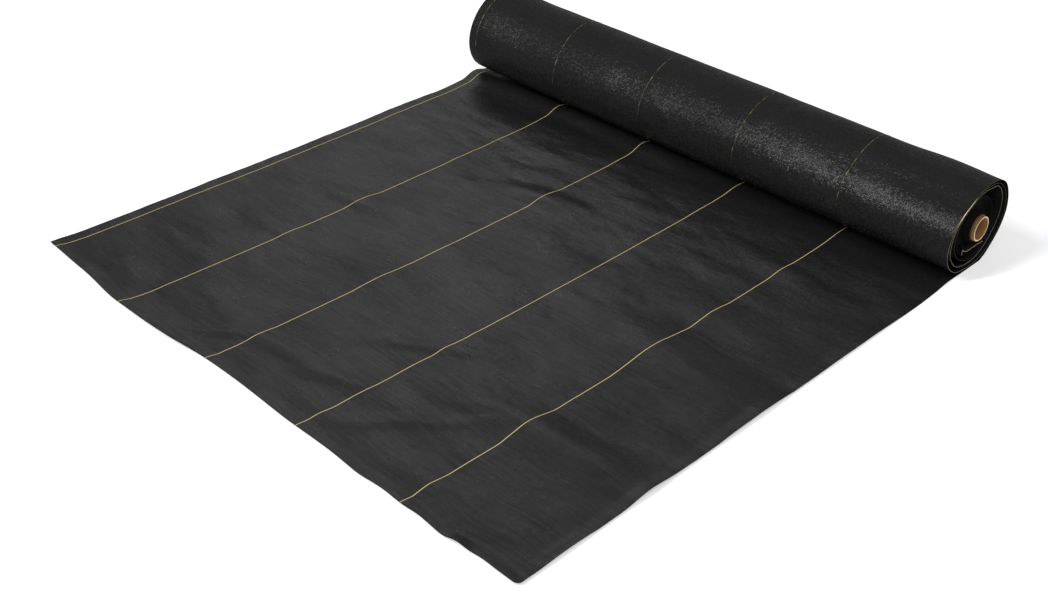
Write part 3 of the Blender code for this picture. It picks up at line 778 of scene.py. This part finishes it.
# Painted light and shade on the yarn: how bright its colour is, by turns wound from under the
# centre
EDGE_PAINTED_LIGHT = (
    (0.55, 0.05), (0.59, 0.80), (0.65, 0.80), (0.68, 0.25), (0.71, 0.06), (0.78, 0.24),
    (0.95, 0.26), (1.04, 0.14), (1.12, 0.04), (1.35, 0.04), (1.42, 0.14), (1.52, 0.22),
    (1.57, 1.00), (1.65, 1.00), (1.70, 0.45), (1.78, 0.28), (1.97, 0.34), (2.10, 0.26),
    (2.24, 0.18), (2.34, 0.26), (2.45, 0.36), (2.55, 0.20), (2.64, 0.04),
)
edge_stops = edge_ramp.color_ramp.elements
edge_stops[0].position, edge_stops[0].color = 0.0, (0.05, 0.05, 0.05, 1.0)
edge_stops[1].position, edge_stops[1].color = 1.0, (0.02, 0.02, 0.02, 1.0)
for turn, bright in EDGE_PAINTED_LIGHT:
    edge_stops.new(turn / LOOSE_TURNS).color = (bright, bright, bright, 1.0)
# The painted light and shade, varied by a random tone along the yarn
painted_light_and_tone = node_math(
    edge_tree, "MULTIPLY", edge_ramp.outputs["Color"], between(edge_tree, edge_noise, 0.5, 1.5))
edge_tree.links.new(
    two_tone(edge_tree, painted_light_and_tone, (0.012, 0.010, 0.007), (0.88, 0.76, 0.50)),
    edge_shader.inputs["Base Color"])
edge_shader.inputs["Roughness"].default_value = 0.5
edge_yarn.data.materials.append(edge_gold)
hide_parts("edge_yarn")
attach(edge_yarn, "outer_turn")

# Tight winding. Inside the loose turns the fabric is wound hard onto the core, one turn on the
# next. The turns have shifted along, so the right end is dished round a low collar and the left
# one bulges. Each drawn turn stands for two or three real ones.
PACK_BORE = 0.0202
PACK_RADIUS = 0.0468
PACK_TURNS = 46
PACK_THICKNESS = 0.00044
STEPS_A_TURN = 64

# The dish's radii, the flat bottom's among them, and how deep each lies below the fabric's edge
BOTTOM_START = 0.0247
BOTTOM_END = 0.0383
DISH_DEEPEST = 0.0125
DISH_RADII = (PACK_BORE, 0.0222, BOTTOM_START, BOTTOM_END, 0.0438, 0.0448, PACK_RADIUS)
DISH_DEPTHS = (0.0010, 0.0010, DISH_DEEPEST, DISH_DEEPEST, 0.0080, 0.0060, 0.0060)
pack_pitch = (PACK_RADIUS - PACK_BORE) / PACK_TURNS
pack_turns = np.linspace(0, PACK_TURNS - 1, (PACK_TURNS - 1) * STEPS_A_TURN + 1)
pack_radii = PACK_BORE + pack_pitch * (pack_turns + 0.5)
dish_depths = np.interp(pack_radii, DISH_RADII, DISH_DEPTHS)
turn_angles = -math.pi / 2 - 2 * math.pi * pack_turns

# Each turn is shifted along by itself, and its edge wanders as it goes round. Both are less at
# the collar, which hugs the core.
TURN_SHIFT = 0.0007
EDGE_WANDER = 0.0009
COLLAR_RADIUS = 0.0250
COLLAR_FADE = 0.0025
KEPT_AT_COLLAR = 0.25
turn_shifts = np.array([
    noise.noise(Vector((turn * 2.7, 0.3, 4.4))) for turn in pack_turns.tolist()])
wander = np.array([
    noise.noise(Vector((math.cos(angle) * 1.4, math.sin(angle) * 1.4, radius * 160)))
    for angle, radius in zip(turn_angles.tolist(), pack_radii.tolist())
])
past_collar = 1 - smooth_step((COLLAR_RADIUS - pack_radii) / COLLAR_FADE)
shifts_kept = KEPT_AT_COLLAR + (1 - KEPT_AT_COLLAR) * past_collar
shifts = (TURN_SHIFT * turn_shifts + EDGE_WANDER * wander) * shifts_kept
right_edges = FABRIC_WIDTH / 2 - dish_depths + shifts
left_edges = DISH_DEEPEST - dish_depths - FABRIC_WIDTH / 2 + shifts
pack_shares = np.array([0.0, 0.004, 0.02, 0.25, 0.5, 0.75, 0.98, 0.996, 1.0])
pack_x = left_edges[None, :] + (right_edges - left_edges)[None, :] * pack_shares[:, None]
pack_places = np.stack([
    pack_x,
    np.broadcast_to(ROLL_Y + pack_radii * np.cos(turn_angles), pack_x.shape),
    np.broadcast_to(ROLL_HEIGHT + pack_radii * np.sin(turn_angles), pack_x.shape)], axis=-1)
pack_lengths = 2 * math.pi * (PACK_BORE * pack_turns + pack_pitch * pack_turns ** 2 / 2)
tight_winding = add_woven_grid(
    "tight_winding", pack_places,
    np.stack([pack_x + FABRIC_WIDTH / 2, np.broadcast_to(pack_lengths, pack_x.shape)], axis=-1))
give_thickness(tight_winding, PACK_THICKNESS)
packed_tapes = tape_material(
    "packed_fabric_edges", dark=(0.005, 0.005, 0.005), light=(0.013, 0.013, 0.012),
    shine=0.12, roughness=(0.75, 0.5), weave_depth=0.0002, wrinkle_depth=0.0010,
    ripple_depth=0.0, float_lean=0.10)
tight_winding.data.materials.append(packed_tapes)
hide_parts("wound_pack")
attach(tight_winding, "wound_roll")

# Buckled inner turn. Low in the dish one turn has been pushed out and leans over the turns
# outside it, and its crumpled edge shows its pale yarn.
BUCKLE_RISE = 0.0110
BUCKLE_FOOT_DEPTH = 0.0004
BUCKLE_THICKNESS = 0.00045

# Each point along it: turn from straight down and share of the way across the dish's bottom at
# its foot, then turn from straight down and reach from the centre at its free edge.
BUCKLE_LINE = (
    (-0.114, 0.92, -0.119, 0.0450), (-0.122, 0.54, -0.137, 0.0399),
    (-0.094, 0.56, -0.108, 0.0385), (-0.061, 0.42, -0.080, 0.0372),
    (-0.028, 0.20, -0.025, 0.0339), (0.011, 0.10, 0.010, 0.0330),
    (0.044, 0.42, 0.050, 0.0345), (0.069, 0.80, 0.105, 0.0421),
)
steps = np.linspace(0, len(BUCKLE_LINE) - 1, 90)
foot_turn, foot_out, edge_turn, edge_reach = (
    np.interp(steps, np.arange(len(BUCKLE_LINE)), column) for column in zip(*BUCKLE_LINE))
foot_reach = BOTTOM_START + (BOTTOM_END - BOTTOM_START) * foot_out
height_grid, step_grid = np.meshgrid(np.linspace(0, 1, 9), steps, indexing="ij")
leaning_out = height_grid ** 1.3
angle_grid = -math.pi / 2 + 2 * math.pi * (foot_turn + (edge_turn - foot_turn) * leaning_out)
reach_grid = foot_reach + (edge_reach - foot_reach) * leaning_out
reach_grid += 0.0007 * height_grid * soft_noise(step_grid * 0.9, height_grid * 2, 2.2)
rise = BUCKLE_RISE + 0.0008 * soft_noise(steps * 0.5, steps * 0, 7.1)
buckle_foot = FABRIC_WIDTH / 2 - DISH_DEEPEST - BUCKLE_FOOT_DEPTH
buckle_places = np.stack([
    buckle_foot + height_grid * rise,
    ROLL_Y + reach_grid * np.cos(angle_grid),
    ROLL_HEIGHT + reach_grid * np.sin(angle_grid),
], axis=-1)

# On the UV map the turn is 6 mm tall, and the yarn takes the last quarter millimetre
BUCKLE_UV_HEIGHT = 0.006
BUCKLE_UV_STEP = 0.004
YARN_FROM = 0.00575
buckled = add_woven_grid(
    "buckled_inner_turn", buckle_places,
    np.stack([
        height_grid * BUCKLE_UV_HEIGHT,
        np.broadcast_to(steps * BUCKLE_UV_STEP, angle_grid.shape)], axis=-1))
give_thickness(buckled, BUCKLE_THICKNESS)
buckled_tapes = tape_material(
    "buckled_turn_tapes", dark=(0.006, 0.006, 0.006), light=(0.013, 0.013, 0.012),
    shine=0.15, roughness=(0.6, 0.4), weave_depth=0.0002, wrinkle_depth=0.0010,
    ripple_depth=0.0, float_lean=0.10)
buckled_tree = buckled_tapes.node_tree
buckled_shader = buckled_tree.nodes["Principled BSDF"]
buckled_uv = buckled_tree.nodes.new("ShaderNodeUVMap")
buckled_uv.uv_map = "UVMap"
buckled_parts = buckled_tree.nodes.new("ShaderNodeSeparateXYZ")
buckled_tree.links.new(buckled_uv.outputs["UV"], buckled_parts.inputs["Vector"])
yarn_mix = buckled_tree.nodes.new("ShaderNodeMix")
yarn_mix.data_type = "RGBA"
at_yarn = node_math(buckled_tree, "GREATER_THAN", buckled_parts.outputs["X"], YARN_FROM)
buckled_tree.links.new(at_yarn, yarn_mix.inputs["Factor"])
tape_colour = buckled_shader.inputs["Base Color"].links[0].from_socket
buckled_tree.links.new(tape_colour, yarn_mix.inputs["A"])
yarn_wear = noise_of(buckled_tree, buckled_uv.outputs["UV"], 160.0, 2.0)
yarn_colour = two_tone(buckled_tree, yarn_wear, (0.25, 0.20, 0.10), (0.95, 0.80, 0.50))
buckled_tree.links.new(yarn_colour, yarn_mix.inputs["B"])
buckled_tree.links.new(yarn_mix.outputs["Result"], buckled_shader.inputs["Base Color"])
buckled.data.materials.append(buckled_tapes)
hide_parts("buckled_turn")
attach(buckled, "wound_roll")

# Paper core. A tube of kraft paper that the fabric is wound on, a little longer than the fabric
# is wide. Its rims are cut square and are paler than its sides.
CORE_RADIUS = 0.0190
CORE_LENGTH = 1.010
CORE_WALL = 0.0022
RIM_ROUNDING = 0.00025
bpy.ops.object.select_all(action="DESELECT")
bpy.ops.mesh.primitive_cylinder_add(
    vertices=128, radius=CORE_RADIUS, depth=CORE_LENGTH, end_fill_type="NOTHING",
    location=(0.0, ROLL_Y, ROLL_HEIGHT), rotation=(0.0, math.pi / 2, 0.0))
core = bpy.context.active_object
core.name = "core_paper_tube"
bpy.ops.object.transform_apply(location=True, rotation=True, scale=True)
wall = core.modifiers.new("wall", "SOLIDIFY")
wall.thickness = CORE_WALL
wall.offset = -1.0
bpy.ops.object.modifier_apply(modifier=wall.name)
rounding = core.modifiers.new("rounding", "BEVEL")
rounding.width = RIM_ROUNDING
rounding.segments = 2
rounding.limit_method = "ANGLE"
rounding.angle_limit = math.radians(60)
bpy.ops.object.modifier_apply(modifier=rounding.name)
bpy.ops.object.shade_smooth_by_angle(angle=math.radians(35))


def kraft_material(name, wall_dark, wall_light, rim_colour):
    """Kraft paper: long fibres, faint blotches, and a cut rim of its own colour."""
    material = bpy.data.materials.new(name)
    material.use_nodes = True
    tree = material.node_tree
    shader = tree.nodes["Principled BSDF"]
    place = tree.nodes.new("ShaderNodeTexCoord").outputs["Object"]
    fibres = noise_of(tree, place, 900.0, 4.0, (0.25, 1.0, 1.0))
    blotches = noise_of(tree, place, 90.0, 3.0)
    shade = node_math(tree, "MULTIPLY", node_math(tree, "ADD", fibres, blotches), 0.5)
    walls = two_tone(tree, shade, wall_dark, wall_light)
    geometry = tree.nodes.new("ShaderNodeNewGeometry")
    facing = tree.nodes.new("ShaderNodeSeparateXYZ")
    tree.links.new(geometry.outputs["True Normal"], facing.inputs["Vector"])
    faces_along = node_math(tree, "ABSOLUTE", facing.outputs["X"])
    on_rim = node_math(tree, "GREATER_THAN", faces_along, 0.6)
    mix = tree.nodes.new("ShaderNodeMix")
    mix.data_type = "RGBA"
    tree.links.new(on_rim, mix.inputs["Factor"])
    tree.links.new(walls, mix.inputs["A"])
    rims = two_tone(tree, fibres, tuple(0.82 * part for part in rim_colour), rim_colour)
    tree.links.new(rims, mix.inputs["B"])
    tree.links.new(mix.outputs["Result"], shader.inputs["Base Color"])
    shader.inputs["Roughness"].default_value = 0.8
    shader.inputs["Specular IOR Level"].default_value = 0.25
    raised(tree, shader, fibres, 0.0002)
    return material


kraft = kraft_material(
    "core_kraft_paper", wall_dark=(0.215, 0.098, 0.036), wall_light=(0.38, 0.195, 0.082),
    rim_colour=(0.85, 0.70, 0.47))
core.data.materials.append(kraft)
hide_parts("core_tube")
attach(core, "core")

# Outer ply. The last paper layer is loose: it ends short of the rim, cut at a slant, and shows as
# a darker step round the tube.
PLY_RADIUS = 0.0196
PLY_THICKNESS = 0.0005
PLY_END = 0.5015
PLY_SLANT = 0.0012
ply_angles = np.linspace(0, 2 * math.pi, 97)
ply_shares = np.linspace(0, 1, 13)
share_grid, angle_grid = np.meshgrid(ply_shares, ply_angles, indexing="ij")
ply_right = PLY_END - PLY_SLANT * (0.5 - 0.5 * np.cos(angle_grid - math.radians(200)))
ply_x = -PLY_END + (ply_right + PLY_END) * share_grid
ply_places = np.stack([
    ply_x,
    ROLL_Y + PLY_RADIUS * np.cos(angle_grid),
    ROLL_HEIGHT + PLY_RADIUS * np.sin(angle_grid),
], axis=-1)
outer_ply = add_woven_grid(
    "core_loose_ply", ply_places, np.stack([ply_x, PLY_RADIUS * angle_grid], axis=-1))

# The two long edges meet, so they are joined before the layer gets its thickness
bpy.ops.object.mode_set(mode="EDIT")
bpy.ops.mesh.select_all(action="SELECT")
bpy.ops.mesh.remove_doubles(threshold=0.00001)
bpy.ops.object.mode_set(mode="OBJECT")
give_thickness(outer_ply, PLY_THICKNESS)
ply_kraft = kraft_material(
    "core_ply_kraft", wall_dark=(0.145, 0.055, 0.018), wall_light=(0.24, 0.105, 0.038),
    rim_colour=(0.45, 0.30, 0.18))
outer_ply.data.materials.append(ply_kraft)
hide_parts("core_outer_ply")
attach(outer_ply, "core")

bpy.context.view_layer.update()
